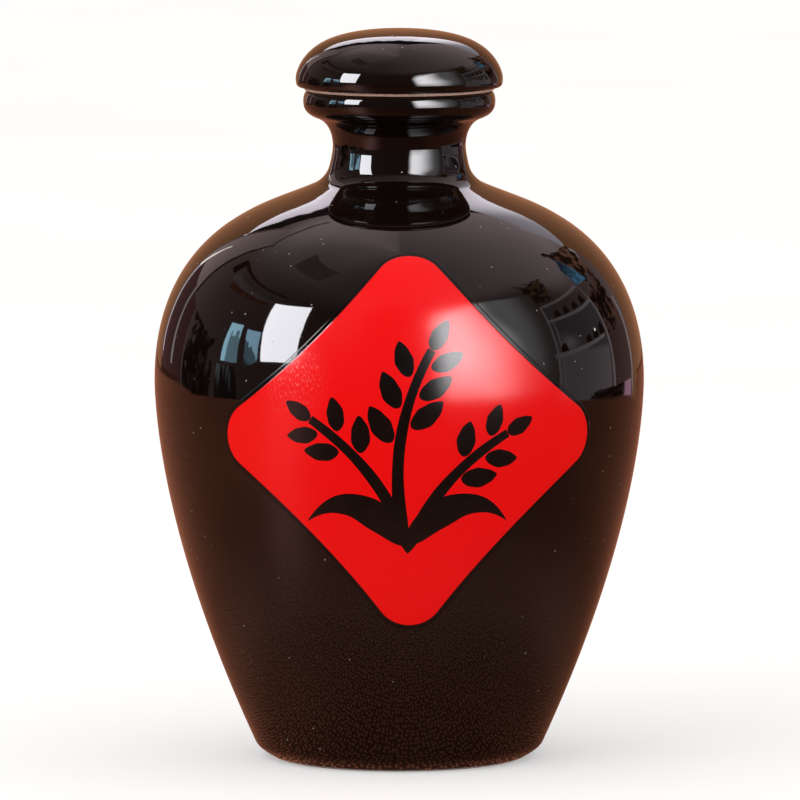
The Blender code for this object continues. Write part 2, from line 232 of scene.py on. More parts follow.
def fired_glaze(name, bare_low, bare_high, bare_radius, thin_height):
    """Glaze, with bare clay between two heights and, in the foot's recess, within a radius. It runs
    thin over an edge at thin_height."""
    material, tree = finish_called(name)
    place = node(tree, "TexCoord", output="Object")
    height = node(tree, "SeparateXYZ", {0: place}, output="Z")
    level = node(tree, "VectorMath", {0: place, 1: (1, 1, 0)}, operation="MULTIPLY")
    radius = node(tree, "VectorMath", {0: level}, output="Value", operation="LENGTH")
    cloud, swell, ripple, peel, grain = [
        node(tree, "TexNoise", {"Vector": place, "Scale": 1000 / size, "Detail": detail})
        for size, detail in ((CLOUD_MM, 3), (SWELL_MM, 1), (RIPPLE_MM, 1), (PEEL_MM, 2), (GRAIN_MM, 4))]
    # the clay's edge wanders by a quarter of a millimetre, as a sponged glaze line does
    begin, end = CLAY_EDGE
    ragged = node(tree, "Math", {0: peel, 1: CLAY_WANDER, 2: height}, operation="MULTIPLY_ADD")
    over = node(tree, "MapRange", {0: ragged, 1: bare_low + begin, 2: bare_low + end})
    under = node(tree, "MapRange", {0: ragged, 1: bare_high + end, 2: bare_high + begin})
    band = node(tree, "Math", {0: over, 1: under}, operation="MULTIPLY")
    inside = node(tree, "MapRange", {0: radius, 1: bare_radius, 2: bare_radius - 0.4 * MM})
    low = node(tree, "MapRange", {0: height, 1: RECESS_TOP + 0.2 * MM, 2: RECESS_TOP})
    well = node(tree, "Math", {0: inside, 1: low}, operation="MULTIPLY")
    bare = node(tree, "Math", {0: band, 1: well}, operation="MAXIMUM")
    # colour: clouds of iron, a brown edge where the melt runs thin, and dust grains on the glass
    colour = node(tree, "ValToRGB", {0: cloud}, stops=((0.35, GLAZE), (0.70, GLAZE_WARM)))
    thin = node(tree, "MapRange", {0: height, 1: thin_height - 0.9 * MM, 2: thin_height})
    grains = node(tree, "TexVoronoi", {"Vector": place, "Scale": 1000 / DUST_MM}).node
    grain_size = node(tree, "MapRange", {0: grains.outputs["Distance"], 1: 0.140, 2: 0.070})
    picked = node(tree, "MapRange", {0: grains.outputs["Color"], 1: NO_DUST[0], 2: NO_DUST[1]})
    dust = node(tree, "Math", {0: grain_size, 1: picked}, operation="MULTIPLY")
    spots = ((0.30, CLAY_SPOT), (0.38, CLAY_DARK), (0.6, CLAY))
    clay = node(tree, "ValToRGB", {0: grain}, stops=spots)
    for share, other in ((thin, GLAZE_THIN), (dust, DUST), (bare, clay)):
        colour = node(tree, "Mix", {0: share, 6: colour, 7: other}, output=2, data_type="RGBA")
    # gloss: clouded glass, and a dry clay
    gloss = node(tree, "MapRange", {0: cloud, 3: GLAZE_GLOSS[0], 4: GLAZE_GLOSS[1]})
    rough = node(tree, "Mix", {0: bare, 2: gloss, 3: CLAY_ROUGH}, data_type="FLOAT")
    # relief in mm: pinholes, slow swells, ripples, a fine orange peel, dust, and the clay's own grain
    pits = node(tree, "TexVoronoi", {"Vector": place, "Scale": 1000 / PINHOLE_MM}).node
    pit = node(tree, "MapRange", {0: pits.outputs["Distance"], 1: 0.13, 2: 0.0, 4: PINHOLE_UP})
    few = node(tree, "MapRange", {0: pits.outputs["Color"], 1: NO_PINHOLE[0], 2: NO_PINHOLE[1]})
    relief = node(tree, "Math", {0: pit, 1: few}, operation="MULTIPLY")
    for layer, up in ((swell, SWELL_UP), (ripple, RIPPLE_UP), (peel, PEEL_UP), (dust, DUST_UP)):
        relief = node(tree, "Math", {0: layer, 1: up, 2: relief}, operation="MULTIPLY_ADD")
    dry = node(tree, "Math", {0: grain, 1: GRAIN_UP}, operation="MULTIPLY")
    relief = node(tree, "Mix", {0: bare, 2: relief, 3: dry}, data_type="FLOAT")
    normal = node(tree, "Bump", {"Height": relief, "Distance": MM})
    glass = {"Base Color": colour, "Roughness": rough, "Normal": normal, "IOR": GLAZE_IOR}
    node(tree, "OutputMaterial", {"Surface": node(tree, "BsdfPrincipled", glass)})
    return material


jar_glaze = fired_glaze("iron_glaze_jar", bare_low=-10 * MM, bare_high=0.35 * MM,
                        bare_radius=FOOT_RADIUS - 2 * MM, thin_height=RIM_HEIGHT)
jar = piece_from_grid("jar_vessel", turned(jar_section(), waved=1.0), jar_glaze)
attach(jar, "jar")
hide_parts("jar_body")

# The lid: a mushroom cap with a hollow stem, turned from the same clay and glazed on the cap.
# It is fired standing on its stem, so the seat ring, the underside and the stem stay bare.
SEAT_HEIGHT = 232.0 * MM
CAP_RADIUS, CAP_EDGE, CAP_TOP = 35.87 * MM, 236.15 * MM, 253.15 * MM
SEAT_RADIUS, SEAT_STEP, SEAT_BEVEL = 32.8 * MM, 0.9 * MM, 0.15 * MM
STEM_RADIUS, GROOVE_RADIUS, BORE_RADIUS = 14.6 * MM, 13.7 * MM, 8.5 * MM
STEM_TIP, STEM_ROUND, CROWN_WALL = 214.0 * MM, 1.2 * MM, 8.0 * MM
CAP_STATIONS = ((1, 0, 90), (0.983, 0.161, 100), (0.648, 0.812, 142), (0, 1, 180))
CAP_PULL, UNDER_PULL, LID_WAVED = 0.339, 0.6, 0.6
RING_HEIGHT, RING_BOTTOMS = 5.0 * MM, (223.7 * MM, 216.9 * MM)
FIT = 0.3 * MM


def lid_section():
    """The closed section: from the crown down the cap, under it, down the grooved stem, up its bore."""
    step = SEAT_HEIGHT + SEAT_STEP
    under = bend((SEAT_RADIUS, step), (CAP_RADIUS, CAP_EDGE), 0, 90, UNDER_PULL, 24)
    cap = outline(CAP_STATIONS, CAP_PULL, 40, (0, CAP_RADIUS), (CAP_EDGE, CAP_TOP))
    outside = np.concatenate([under, cap, [(0, CAP_TOP)]])[::-1]
    seat = [(SEAT_RADIUS, step - 0.2 * MM), (SEAT_RADIUS, SEAT_HEIGHT + SEAT_BEVEL),
            (SEAT_RADIUS - SEAT_BEVEL, SEAT_HEIGHT)]
    root = round_over((STEM_RADIUS, SEAT_HEIGHT - STEM_ROUND),
                      (STEM_RADIUS + STEM_ROUND, SEAT_HEIGHT), 6)[::-1]
    grooves = []
    for bottom in RING_BOTTOMS:
        upper, lower = bottom + RING_HEIGHT + FIT, bottom - FIT
        grooves += [(STEM_RADIUS, upper), (GROOVE_RADIUS, upper)]
        grooves += [(GROOVE_RADIUS, lower), (STEM_RADIUS, lower)]
    end = round_over((STEM_RADIUS, STEM_TIP + STEM_ROUND), (STEM_RADIUS - STEM_ROUND, STEM_TIP), 6)
    crown = CAP_TOP - CROWN_WALL
    bore = round_over((BORE_RADIUS, crown - BORE_RADIUS / 2), (0, crown), 10)
    return np.concatenate([outside, seat, root, grooves, end, [(BORE_RADIUS, STEM_TIP)], bore])


# thin_height lies far above the cap, so that the glaze runs thin nowhere on it
lid_glaze = fired_glaze("iron_glaze_lid", bare_low=100 * MM, bare_high=SEAT_HEIGHT + SEAT_STEP - 0.1 * MM,
                        bare_radius=0.0, thin_height=1.0)
lid = piece_from_grid("lid_cap", turned(lid_section(), waved=LID_WAVED), lid_glaze)
lid.data.set_sharp_from_angle(angle=math.radians(40))
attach(lid, "lid")
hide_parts("lid")

# The seal rings: milky silicone bands with two swept fins each, moulded in one piece.
# They are stretched over the stem into its two grooves and wipe the neck's bore.
FIN_COUNT, FIN_ROOT, FIN_TIP, FIN_SWEEP = 2, 1.1 * MM, 0.5 * MM, 0.5 * MM
RING_BAND, RING_EDGE, RING_TURN = 1.3 * MM, 0.25 * MM, 192


def ring_section():
    """A closed section: the band, and fins whose tips are half circles, swept up towards the bore."""
    inner = GROOVE_RADIUS + FIT
    band, tip = inner + RING_BAND, MOUTH_RADIUS - FIT
    angle = np.linspace(math.pi / 2, -math.pi / 2, 7)
    side = []
    for index in reversed(range(FIN_COUNT)):
        middle = RING_HEIGHT * (index + 0.5) / FIN_COUNT - FIN_SWEEP / 2
        above, below = middle + FIN_ROOT / 2, middle - FIN_ROOT / 2
        nose = np.column_stack([tip - FIN_TIP / 2 + FIN_TIP / 2 * np.cos(angle),
                                middle + FIN_SWEEP + FIN_TIP / 2 * np.sin(angle)])
        side += [(band + RING_EDGE, above + 0.05 * MM), *nose]
        side += [(band + RING_EDGE, below + 0.1 * MM), (band, below - 0.15 * MM)]
    top = [(inner, RING_HEIGHT - RING_EDGE), (inner + RING_EDGE, RING_HEIGHT)]
    top += [(band - RING_EDGE, RING_HEIGHT), (band, RING_HEIGHT - RING_EDGE)]
    foot = [(band - RING_EDGE, 0), (inner + RING_EDGE, 0), (inner, RING_EDGE)]
    return np.array(top + side + foot)


# Milky silicone rubber, moulded: a pale translucent satin, slightly clouded, with a faint mould grain
SILICONE_PALE, SILICONE_GREY = "#e3e2da", "#d2d1c7"
SILICONE_CLOUD_MM, MOULD_GRAIN_MM, MOULD_GRAIN_UP, SILICONE_GLOSS = 7.0, 0.4, 0.02 * MM, (0.36, 0.50)


def milky_silicone():
    """Soft rubber that lets a little light in, so its fins look lighter where they are thin."""
    material, tree = finish_called("milky_silicone")
    place = node(tree, "TexCoord", output="Object")
    cloud = node(tree, "TexNoise", {"Vector": place, "Scale": 1000 / SILICONE_CLOUD_MM, "Detail": 3.0})
    grain = node(tree, "TexNoise", {"Vector": place, "Scale": 1000 / MOULD_GRAIN_MM, "Detail": 2.0})
    colour = node(tree, "ValToRGB", {0: cloud}, stops=((0.35, SILICONE_GREY), (0.65, SILICONE_PALE)))
    gloss = node(tree, "MapRange", {0: grain, 3: SILICONE_GLOSS[0], 4: SILICONE_GLOSS[1]})
    normal = node(tree, "Bump", {"Height": grain, "Strength": 0.6, "Distance": MOULD_GRAIN_UP})
    rubber = {"Base Color": colour, "Roughness": gloss, "Normal": normal, "IOR": 1.41,
              "Subsurface Weight": 0.35, "Subsurface Radius": (1.2 * MM, 1.1 * MM, 1.0 * MM),
              "Subsurface Scale": 1.0}
    node(tree, "OutputMaterial", {"Surface": node(tree, "BsdfPrincipled", rubber)})
    return material


rubber = milky_silicone()
for ring_name, bottom in zip(("seal_ring_upper", "seal_ring_lower"), RING_BOTTOMS):
    rows = turned(ring_section() + (0, bottom), steps=RING_TURN)
    ring = piece_from_grid(ring_name.replace("seal_ring", "silicone_seal"), rows, rubber, along_closed=True)
    ring.data.set_sharp_from_angle(angle=math.radians(50))
    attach(ring, "seals")
    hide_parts(ring_name)

# The label: glossy printed film cut as a diamond with round corners and stuck on the glaze.
# The red print stops short of the cut edge, which leaves a clear rim that looks as dark as the glaze.
FILM_HALF_WIDTH, FILM_HALF_HEIGHT, FILM_CORNER, FILM_SIDE = 70.4 * MM, 68.1 * MM, 13.3 * MM, 204.0 * MM
FILM_HEIGHT, CLEAR_RIM_MM = 118.7 * MM, 1.6
FILM_UNDER, FILM_TOP, FILM_CHAMFER = 0.03 * MM, 0.20 * MM, 0.06 * MM
FILM_RINGS, RING_CROWD, FILM_EDGE_STEPS = 64, 1.6, (10, 48, 10)


def film_edge():
    """The film's flat edge: a quarter of three arcs (corner, drawn-in side, corner), mirrored twice."""
    right = np.array([FILM_HALF_WIDTH - FILM_CORNER, 0])
    top = np.array([0, FILM_HALF_HEIGHT - FILM_CORNER])
    chord = np.linalg.norm(top - right)
    away = math.sqrt((FILM_SIDE + FILM_CORNER)**2 - chord**2 / 4)
    centre = (right + top) / 2 + away * np.array([top[1], right[0]]) / chord
    right_end = math.atan2(*(centre - right)[::-1])
    top_start = math.atan2(*(centre - top)[::-1])
    side_start, side_end = math.atan2(*(right - centre)[::-1]), math.atan2(*(top - centre)[::-1])
    side_turn = (side_end - side_start + math.pi) % (2 * math.pi) - math.pi
    arcs = ((right, FILM_CORNER, 0, right_end), (centre, FILM_SIDE, side_start, side_start + side_turn),
            (top, FILM_CORNER, top_start, math.pi / 2))
    points = []
    for (middle, radius, start, end), steps in zip(arcs, FILM_EDGE_STEPS):
        angle = np.linspace(start, end, steps, endpoint=False)
        points.append(middle + radius * np.column_stack([np.cos(angle), np.sin(angle)]))
    corner = np.concatenate(points)
    upper = np.concatenate([corner, [(0, FILM_HALF_HEIGHT)], corner[:0:-1] * (-1, 1)])
    return np.concatenate([upper, -upper])


def side_run():
    """The jar's outline, and how far along it each of its points lies from the foot."""
    line = jar_side(OUTER_STEPS)
    return line, np.concatenate([[0], np.cumsum(np.linalg.norm(np.diff(line, axis=0), axis=1))])


def lay_on_glaze(across, up, lift):
    """Flat points laid on the jar: up runs along its outline, across round it, lift stands off it."""
    line, run = side_run()
    along = unit_steps(line)
    where = np.interp(FILM_HEIGHT, line[:, 1], run) + up
    radius, height = np.interp(where, run, line[:, 0]), np.interp(where, run, line[:, 1])
    out, rise = np.interp(where, run, along[:, 1]), -np.interp(where, run, along[:, 0])
    turn = across / radius
    radius = radius + lift * out - wave(turn, height)
    return np.stack([radius * np.sin(turn), -radius * np.cos(turn), height + lift * rise], axis=-1)


def film_points():
    """Rings of the edge drawn in towards the middle, over the top, round the cut edge and back
    below. They crowd towards the edge by a power."""
    edge = film_edge()
    share = 1 - (1 - np.linspace(0, 1, FILM_RINGS))**RING_CROWD
    size = np.concatenate([share, share[::-1]])
    lift = np.concatenate([np.full(FILM_RINGS, FILM_TOP), np.full(FILM_RINGS, FILM_UNDER)])
    lift[FILM_RINGS - 1] -= FILM_CHAMFER
    flat = edge[None] * size[:, None, None]
    return lay_on_glaze(flat[..., 0], flat[..., 1], lift[:, None])


def edge_distance(flat):
    """The distance from flat points to the nearest point of the film's edge."""
    edge = film_edge()
    ends = np.roll(edge, -1, axis=0)
    nearest = np.full(len(flat), np.inf)
    for start, end in zip(edge, ends):
        along = end - start
        share = np.clip((flat - start) @ along / (along @ along), 0, 1)
        gap = np.linalg.norm(flat - start - share[:, None] * along, axis=1)
        nearest = np.minimum(nearest, gap)
    return nearest


def flat_of(points):
    """The flat (across, up) place of points near the glaze, the way back from lay_on_glaze."""
    line, run = side_run()
    up = np.interp(points[:, 2], line[:, 1], run) - np.interp(FILM_HEIGHT, line[:, 1], run)
    radius = np.interp(points[:, 2], line[:, 1], line[:, 0])
    return np.column_stack([np.arctan2(points[:, 0], -points[:, 1]) * radius, up])


def add_flat_map(thing, with_edge=False):
    """A UV map of flat millimetres, and the distance from the cut edge as an attribute."""
    mesh = thing.data
    points = np.empty(len(mesh.vertices) * 3, np.float32)
    mesh.vertices.foreach_get("co", points)
    flat = flat_of(points.reshape(-1, 3).astype(float))
    corners = np.empty(len(mesh.loops), np.int32)
    mesh.loops.foreach_get("vertex_index", corners)
    layer = mesh.uv_layers.new(name="flat_mm")
    layer.data.foreach_set("uv", (flat[corners] / MM).astype(np.float32).ravel())
    if with_edge:
        gap = mesh.attributes.new("edge_gap", "FLOAT", "POINT")
        gap.data.foreach_set("value", (edge_distance(flat) / MM).astype(np.float32))


# Gloss polypropylene film, printed red on its back: a saturated red under a clear smooth skin, softer in its
# mirroring than the glaze, and painted a little lighter towards the top as light from above. It has not
# wetted the glaze near its left corner.
RED_TOP, RED_MIDDLE, RED_FOOT, RED_DEEP, CLEAR = "#fb0007", "#f80004", "#f40002", "#e80003", "#0a0504"
FLECK_GLINT_RED, FLECK_MM, LIFTED_AT, LIFTED_MM = "#ff7d76", (0.55, 1.5), (-41.5, 21.0, 0.0), (15.0, 3.0)
CUT_MM, CUT_UP, PRINT_SOFT, PRINT_UP, WRINKLE_UP = 0.35, -0.045, 0.16, 0.045, 0.030
# the orange peel and the slow swells: how wide and how high, in mm
FILM_WAVES, FILM_IOR, RIM_ROUGH = ((2.4, 0.0040), (11.0, 0.025)), 1.35, 0.06


def film_skin(tree, flat, relief, colour, gloss, ior):
    """The film's surface: its waves on top of a relief in mm, and what lies under it as its colour."""
    for size, up in FILM_WAVES:
        noise = node(tree, "TexNoise", {"Vector": flat, "Scale": 1 / size, "Detail": 1.0})
        relief = node(tree, "Math", {0: noise, 1: up, 2: relief}, operation="MULTIPLY_ADD")
    normal = node(tree, "Bump", {"Height": relief, "Distance": MM})
    skin = {"Base Color": colour, "Roughness": gloss, "Normal": normal, "IOR": ior}
    node(tree, "OutputMaterial", {"Surface": node(tree, "BsdfPrincipled", skin)})


def printed_film():
    """Red within the clear rim, painted lighter at the top, a fine print grain, painted glints by a lifted
    corner.
    """
    material, tree = finish_called("gloss_red_film")
    flat = node(tree, "UVMap", uv_map="flat_mm")
    height = node(tree, "SeparateXYZ", {0: flat}, output="Y")
    gap = node(tree, "Attribute", output="Fac", attribute_name="edge_gap")
    printed = {0: gap, 1: CLEAR_RIM_MM - PRINT_SOFT, 2: CLEAR_RIM_MM + PRINT_SOFT}
    printed = node(tree, "MapRange", printed)
    share = node(tree, "MapRange", {0: height, 1: -66.0, 2: 66.0})
    # the red is painted a little lighter towards the top, as light falling from above
    reds_lit_from_above = ((0.0, RED_FOOT), (0.5, RED_MIDDLE), (1.0, RED_TOP))
    red = node(tree, "ValToRGB", {0: share}, stops=reds_lit_from_above)
    grain = node(tree, "TexNoise", {"Vector": flat, "Scale": 2.0, "Detail": 3.0})
    coarse = node(tree, "MapRange", {0: grain, 1: 0.55, 2: 0.95})
    # trapped air round the place where the film is lifted: upright raised flecks, painted paler than the red
    # as glints
    away = node(tree, "VectorMath", {0: flat, 1: LIFTED_AT}, output="Value", operation="DISTANCE")
    lifted = node(tree, "MapRange", {0: away, 1: LIFTED_MM[0], 2: LIFTED_MM[1]})
    drawn_out = (1 / FLECK_MM[0], 1 / FLECK_MM[1], 1.0)
    upright = node(tree, "VectorMath", {0: flat, 1: drawn_out}, operation="MULTIPLY")
    flecks = {"Vector": upright, "Scale": 1.0, "Detail": 3.0, "Roughness": 0.7}
    speckle = node(tree, "TexNoise", flecks)
    fleck = node(tree, "MapRange", {0: speckle, 1: 0.55, 2: 0.70})
    wrinkle_and_glint = node(tree, "Math", {0: lifted, 1: fleck}, operation="MULTIPLY")
    pale = node(tree, "Math", {0: wrinkle_and_glint, 1: 0.85}, operation="MULTIPLY")
    # mixed in: the darker print grain, and the flecks painted pale as glints of light
    for share, other in ((coarse, RED_DEEP), (pale, FLECK_GLINT_RED)):
        red = node(tree, "Mix", {0: share, 6: red, 7: other}, output=2, data_type="RGBA")
    colour = node(tree, "Mix", {0: printed, 6: CLEAR, 7: red}, output=2, data_type="RGBA")
    # relief in mm: the rounded cut edge, the wrinkles and the print's step
    cut = {0: gap, 2: CUT_MM, 3: CUT_UP, 4: 0.0}
    relief = node(tree, "MapRange", cut, interpolation_type="SMOOTHSTEP")
    for layer, up in ((wrinkle_and_glint, WRINKLE_UP), (printed, PRINT_UP)):
        relief = node(tree, "Math", {0: layer, 1: up, 2: relief}, operation="MULTIPLY_ADD")
    # gloss: the clear rim is as smooth as the glaze under it
    gloss = node(tree, "MapRange", {0: lifted, 3: 0.165, 4: 0.20})
    gloss = node(tree, "Mix", {0: printed, 2: RIM_ROUGH, 3: gloss}, data_type="FLOAT")
    film_skin(tree, flat, relief, colour, gloss, FILM_IOR)
    return material


film = piece_from_grid("label_film", film_points(), printed_film())
add_flat_map(film, with_edge=True)
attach(film, "jar")
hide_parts("front_label")

# The painted spray: three ears of grain and their blade leaves, printed as if brushed in black ink.
# Each stroke is a flat ribbon on the film that swells and tapers as a loaded brush does.
INK_UNDER, INK_TOP, INK_ROWS, INK_ACROSS = 0.203 * MM, 0.224 * MM, 44, 7
INK_LAYER, TREMBLE, STEM_WIDTH, BLADE_WIDTH = 0.002 * MM, 0.03, 4.2, 10.5
STEMS = (((-1, -40), (-7, -14), (-6, 8), (7, 31)), ((-1, -40), (-5, -20), (-18, -4), (-35, 7)),
         ((-1, -40), (3, -24), (15, -8), (34, 2)))
# each stem's ear: how many grains, from which share, their length, width and lean, and the first side
EARS = ((7, 0.54, 14.5, 7.2, 40, 1), (5, 0.66, 13.0, 6.6, 42, -1), (5, 0.62, 13.0, 6.8, 40, -1))
EAR_CROWD, GRAIN_TAPER, GRAIN_CLEAR = 0.94, 0.22, 1 / 5.4
GRAIN_COURSE = ((0, 0), (0.33, 0.9), (0.7, 0.3), (1, 0))
BLADES = (((-1, -37), (7, -24), (23, -16), (34, -29)), ((-2, -37), (-11, -24), (-24, -16), (-36, -29)))


def along_path(path, share):
    """Points of a cubic Bezier path, and its unit steps, at shares of its course."""
    path, t = np.array(path, float), share[:, None]
    first, second, third = np.diff(path, axis=0)
    way = (1 - t)**2 * first + 2 * t * (1 - t) * second + t**2 * third
    return bezier(*path, share), way / np.linalg.norm(way, axis=1)[:, None]


def stem_press(share):
    """The brush's press along a stem: a pointed start that swells, then easing evenly."""
    return np.sin(0.5 * math.pi * np.clip(share / 0.16, 0, 1))**0.8 * (1.15 - 0.45 * share)


def blade_press(share):
    """The brush's press along a leaf: a sine that is fullest before the middle, and pointed ends."""
    return np.sin(math.pi * share**0.70)**0.9 * (1 - 0.15 * share)


def grain_press(share):
    """The brush's press along a grain: a blunt sine, so that the foot is round and the tip pointed."""
    return np.sin(math.pi * share**0.78)**0.72


def stroke(path, width, press, layer):
    """Rows of points for a ribbon in mm along a path, as wide at each share of it as the press says,
    give or take a tremble."""
    share = np.linspace(0, 1, INK_ROWS)
    centre, way = along_path(path, share)
    side = np.column_stack([-way[:, 1], way[:, 0]])
    half = width / 2 * press(share) * (1 + TREMBLE * np.sin(17 * share + width + layer))
    across = np.concatenate([np.linspace(-1, 1, INK_ACROSS), [1, -1]])
    lift = np.array([INK_TOP] * INK_ACROSS + [INK_UNDER] * 2) + layer * INK_LAYER
    flat = (centre[:, None] + side[:, None] * (half[:, None] * across)[..., None]) * MM
    return lay_on_glaze(flat[..., 0], flat[..., 1], lift[None])


def ear(path, count, first, length, width, lean, side, layer):
    """Strokes for an ear: grains from a share first of the stem to its tip, turned by lean degrees to
    its left (side 1) or right (-1) in turn and a fifth of their length clear of it. The last lies in
    line. Their courses run ahead and bow out."""
    shares = first + (1 - first) * np.linspace(0, 1, count)**EAR_CROWD
    points, ways = along_path(path, shares)
    made = []
    for index, (point, way) in enumerate(zip(points, ways)):
        hand = 0 if index == count - 1 else side * (-1)**index
        across, turned_by = np.array([-way[1], way[0]]), math.radians(lean * hand)
        ahead = way * math.cos(turned_by) + across * math.sin(turned_by)
        taper = 1 - GRAIN_TAPER * index / count
        begin = point + across * hand * length * GRAIN_CLEAR
        course = [begin + ahead * length * taper * share + across * hand * bow for share, bow in GRAIN_COURSE]
        made.append(stroke(course, width * taper, grain_press, layer + index % 3))
    return made


# Black printing ink under the same clear skin: a warm black with a faint wash where the brush ran dry
INK, INK_WASH, WASH_MM, INK_IOR = "#070404", "#140b09", 9.0, 1.36


def brushed_ink():
    """Ink as glossy as the film round it, with the film's own orange peel and swells."""
    material, tree = finish_called("black_brush_ink")
    flat = node(tree, "UVMap", uv_map="flat_mm")
    wash = node(tree, "TexNoise", {"Vector": flat, "Scale": 1 / WASH_MM, "Detail": 5.0})
    colour = node(tree, "ValToRGB", {0: wash}, stops=((0.3, INK), (0.75, INK_WASH)))
    gloss = node(tree, "MapRange", {0: wash, 3: 0.155, 4: 0.185})
    film_skin(tree, flat, 0.0, colour, gloss, INK_IOR)
    return material


ribbons = [stroke(path, STEM_WIDTH, stem_press, layer) for layer, path in enumerate(STEMS)]
ribbons += [stroke(path, BLADE_WIDTH, blade_press, 3 + layer) for layer, path in enumerate(BLADES)]
for index, (path, settings) in enumerate(zip(STEMS, EARS)):
    ribbons += ear(path, *settings, 6 + 3 * index)
ink = brushed_ink()
painted = [piece_from_grid("stroke", points, ink) for points in ribbons]
spray = painted[0]
with bpy.context.temp_override(active_object=spray, selected_editable_objects=painted):
    bpy.ops.object.join()
spray.name = spray.data.name = "painted_spray"
spray.data.set_sharp_from_angle(angle=math.radians(40))
add_flat_map(spray)
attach(spray, "jar")

# The room that the glaze mirrors: a shell of walls and ceiling, and flat panels in front of it for the
# brown backdrop, the windows, the lamp and the shelves. Only mirroring rays see any of it.
CAMERA_TURN, CAMERA_RISE, CAMERA_DISTANCE = math.radians(-2.8), math.radians(5.9), 3816 * MM
ROOM_HEIGHT, ROOM_RADIUS, WALL_COLOUR, CEILING_COLOUR = 150 * MM, 3.0, "#ffdad2", "#ffe5e7"
TORN_NOISE, TORN_CUT = 0.8, (0.42, 0.50)


def towards(turn, rise):
    """Unit steps in the directions turn degrees round from the camera's side and rise degrees up."""
    turn, rise = np.radians(turn) + CAMERA_TURN, np.radians(rise)
    return np.stack([np.sin(turn) * np.cos(rise), -np.cos(turn) * np.cos(rise), np.sin(rise)], axis=-1)


def smooth(low, high, value):
    """0 before low, 1 past high and a smooth rise between; high may be the lower one."""
    share = np.clip((value - low) / (high - low), 0, 1)
    return share * share * (3 - 2 * share)


def glowing(granule=0.0):
    """Light in the colour that the mesh stores, clear where the stored alpha is 0, and mottled by
    granules of this size."""
    material, tree = finish_called("mirrored_light")
    stored = node(tree, "Attribute", attribute_name="light").node.outputs
    strength = 1.0
    if granule:
        place = node(tree, "TexCoord", output="Object")
        cells = {"Vector": place, "Scale": 1 / granule, "Randomness": 0.6}
        cells = node(tree, "TexVoronoi", cells, voronoi_dimensions="2D")
        strength = node(tree, "MapRange", {0: cells, 1: 0.10, 2: 0.40, 3: 2.5, 4: 0.54})
    light = node(tree, "Emission", {"Color": stored["Color"], "Strength": strength})
    clear = node(tree, "BsdfTransparent")
    shown = node(tree, "MixShader", {0: stored["Alpha"], 1: clear, 2: light})
    node(tree, "OutputMaterial", {"Surface": shown})
    return material


PLAIN_LIGHT, MOTTLED_LIGHT = glowing(), glowing(2.0 * MM)


def coloured(level, code):
    """Light of one colour, at a level for each point."""
    return level[..., None] * linear(code)[:3]


def mirrored(name, points, light, finish=PLAIN_LIGHT, cover=1.0):
    """A studio piece that only mirroring rays see, with a light for each point, and cut away where
    cover is 0."""
    cover = np.broadcast_to(cover, points.shape[:2])[..., None]
    light = np.concatenate([light, cover], axis=-1)
    thing = piece_from_grid(name, points, finish, across_closed=False, light=light)
    thing.visible_camera = thing.visible_diffuse = thing.visible_shadow = False


def patchy(seed, u, v):
    """Seeded noise of 0 to 1: two grids of random levels, one twice as fine, smoothly blended."""
    total = 0
    for size, weight in ((7, 0.6), (15, 0.4)):
        levels = np.random.default_rng(seed + size).random((size + 1, size + 1))
        column = np.minimum((u * size).astype(int), size - 1)
        row = np.minimum((v * size).astype(int), size - 1)
        left, low = smooth(0, 1, u * size - column), smooth(0, 1, v * size - row)
        foot = levels[row, column] * (1 - left) + levels[row, column + 1] * left
        head = levels[row + 1, column] * (1 - left) + levels[row + 1, column + 1] * left
        total = total + weight * (foot * (1 - low) + head * low)
    return total


def panel(name, corners, distance, colour, strength=1.0, fade=None, steps=24, torn=0, clear=0.0):
    """A panel blended both ways between four directions (turn, rise): low left, low right, high right
    and high left. fade gives its brightness from u along it and v up it. torn seeds a torn outline:
    noise plus the distance from the edge, cut at one level. Where the fade is under clear, the panel
    lets what is behind it through."""
    u, v = np.meshgrid(np.linspace(0, 1, steps), np.linspace(0, 1, steps))
    sides = zip(((1 - u) * (1 - v), u * (1 - v), u * v, (1 - u) * v), corners)
    flat = sum(share[..., None] * np.array(corner) for share, corner in sides)
    points = towards(flat[..., 0], flat[..., 1]) * distance + (0, 0, ROOM_HEIGHT)
    bright = np.ones_like(u) if fade is None else fade(u, v)
    inside = 2 * np.minimum(np.minimum(u, 1 - u), np.minimum(v, 1 - v))
    cover = smooth(*TORN_CUT, inside + TORN_NOISE * patchy(torn, u, v)) if torn else 1.0
    cover = cover * smooth(0, clear, bright) if clear else cover
    mirrored(name, points, coloured(bright * strength, colour), cover=cover)


def lamp_fade(u, v):
    """A soft left edge and corner, a long fall to the right with a crisp top, dimmer by the table."""
    right = smooth(0.08, 0.62, u)
    start, end = 0.66 + 0.26 * right, 0.90 + 0.08 * right
    corner = np.hypot(np.clip(1 - u / 0.20, 0, 1), np.clip((v - start) / (end - start), 0, 1))
    fall = smooth(0.78 - 0.16 * smooth(0.45, 0.85, v), 0.20, u)
    across = 0.02 + 0.055 * smooth(1.0, 0.68, u) + 0.925 * fall
    foot = 0.42 + 0.35 * smooth(0.25, 0.50, u)
    by_table = smooth(-0.03, 0.05, v) * (foot + (1 - foot) * smooth(0.0, 0.38, v))
    return smooth(1.0, 0.30, corner) * across * by_table


def scraps(seed):
    """A fade of dark and light scraps: the patchy noise cut near its middle."""
    return lambda u, v: 0.10 + 1.5 * smooth(0.44, 0.72, patchy(seed, u, v))


def gap_light(u, v):
    """The slot of light behind the backdrop's top: bright below a wavy edge, black beam above it."""
    edge = 0.52 + 0.06 * np.sin(3 * u) - 0.40 * smooth(0.78, 1.0, u)
    edge = edge + 0.030 * np.sin(31 * u) + 0.02 * np.sin(67 * u + 1)
    return 0.005 + smooth(edge + 0.02, edge - 0.04, v) * (0.80 + 0.20 * smooth(0.25, 0.0, v))


